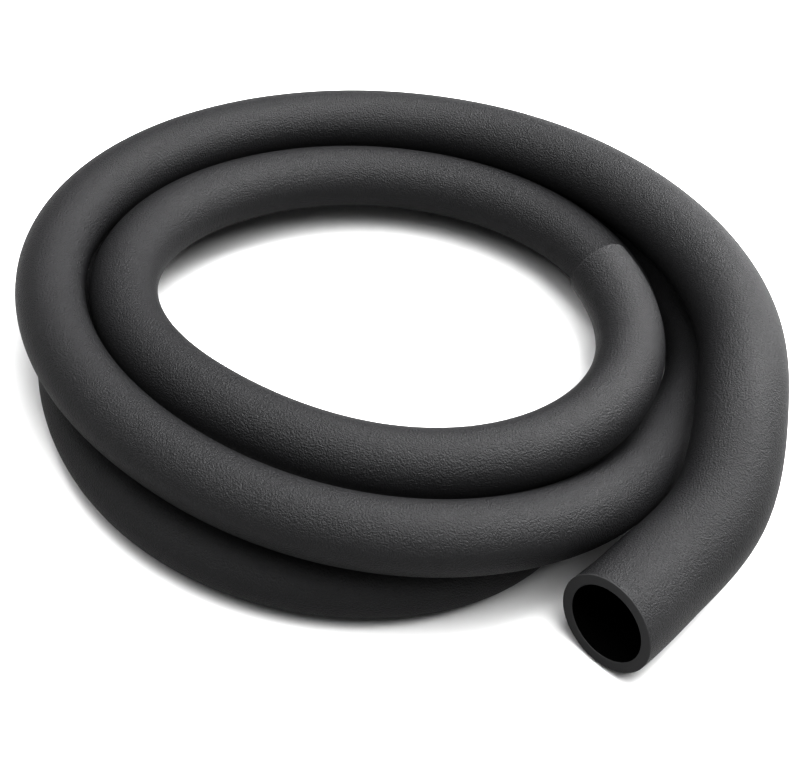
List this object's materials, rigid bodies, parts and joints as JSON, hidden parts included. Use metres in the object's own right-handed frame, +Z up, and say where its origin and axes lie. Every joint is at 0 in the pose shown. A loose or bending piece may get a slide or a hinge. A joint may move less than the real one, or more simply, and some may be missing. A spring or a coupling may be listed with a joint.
{
  "type": "rubber sleeve tube",
  "caption": "Soft black rubber sleeve tube, hollow from end to end with square-cut ends, lying in a loose coil. One end is wider than the rest.",
  "frame": {"origin": "middle of the coil's footprint, on the floor that it lies on", "axes": "+Z up, along the coil's axis; the open end that faces the front is at +X, -Y"},
  "size_m": [0.3242, 0.3204, 0.0679],
  "materials": {
    "black_rubber": "matte, fine pebbled grain"
  },
  "bodies": {
    "root": {"sleeve_tube": "black_rubber"}
  },
  "joints": []
}
